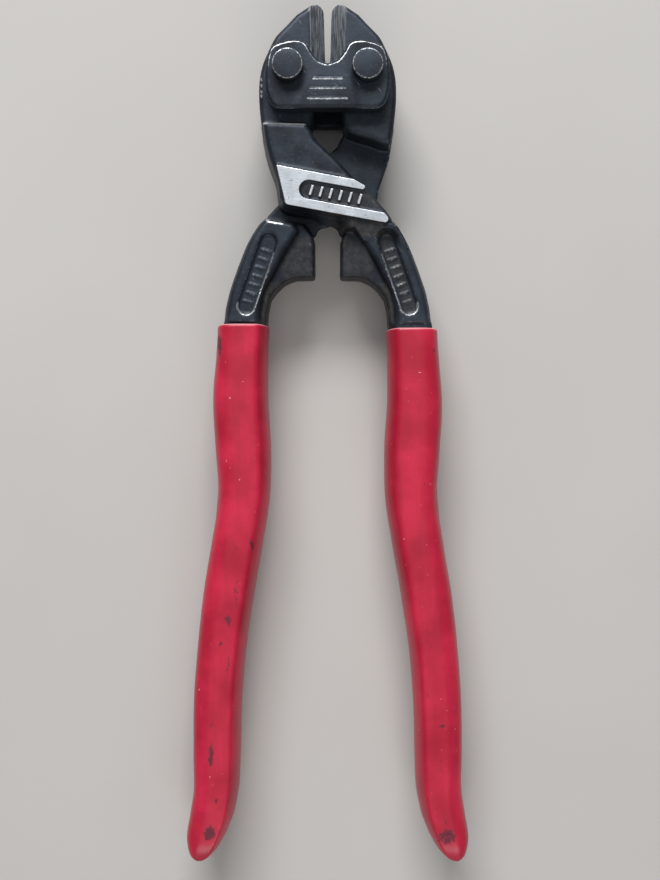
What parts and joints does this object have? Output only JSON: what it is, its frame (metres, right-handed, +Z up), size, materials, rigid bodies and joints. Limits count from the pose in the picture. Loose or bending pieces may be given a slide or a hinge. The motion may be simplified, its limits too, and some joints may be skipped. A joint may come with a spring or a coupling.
{
  "type": "bolt cutters",
  "caption": "Compact one-hand bolt cutters: crossing forged levers on a pair of link plates, with short bevelled jaws, gripping lugs and dipped handle sleeves.",
  "frame": {"origin": "middle of the bottom of the bounding box, level with the back pin heads that the tool lies on", "axes": "+Y towards the jaws, +X to the right seen from the front, +Z up through the thickness"},
  "size_m": [0.066, 0.1994, 0.0232],
  "materials": {
    "blackened_steel": "satin black",
    "ground_steel": "ground bright",
    "red_plastic": "gloss"
  },
  "bodies": {
    "link": {"front_link_plate": "blackened_steel", "back_link_plate": "blackened_steel", "left_pivot_pin": "blackened_steel", "right_pivot_pin": "blackened_steel"},
    "front_lever": {"front_lever": "blackened_steel", "right_grip": "red_plastic"},
    "back_lever": {"back_lever": "blackened_steel", "left_grip": "red_plastic"}
  },
  "joints": [
    {"name": "front_lever_pivot", "type": "hinge", "parent": "link", "child": "front_lever", "pos_m": [-0.0091, 0.0827, 0.0116], "axis": [0, 0, 1], "range_deg": [-2.8, 15]},
    {"name": "back_lever_pivot", "type": "hinge", "parent": "link", "child": "back_lever", "pos_m": [0.0091, 0.0827, 0.0116], "axis": [0, 0, 1], "range_deg": [-15, 2.8]}
  ],
  "couplings": [
    {"joint": "back_lever_pivot", "follows": "front_lever_pivot", "ratio": -1}
  ]
}
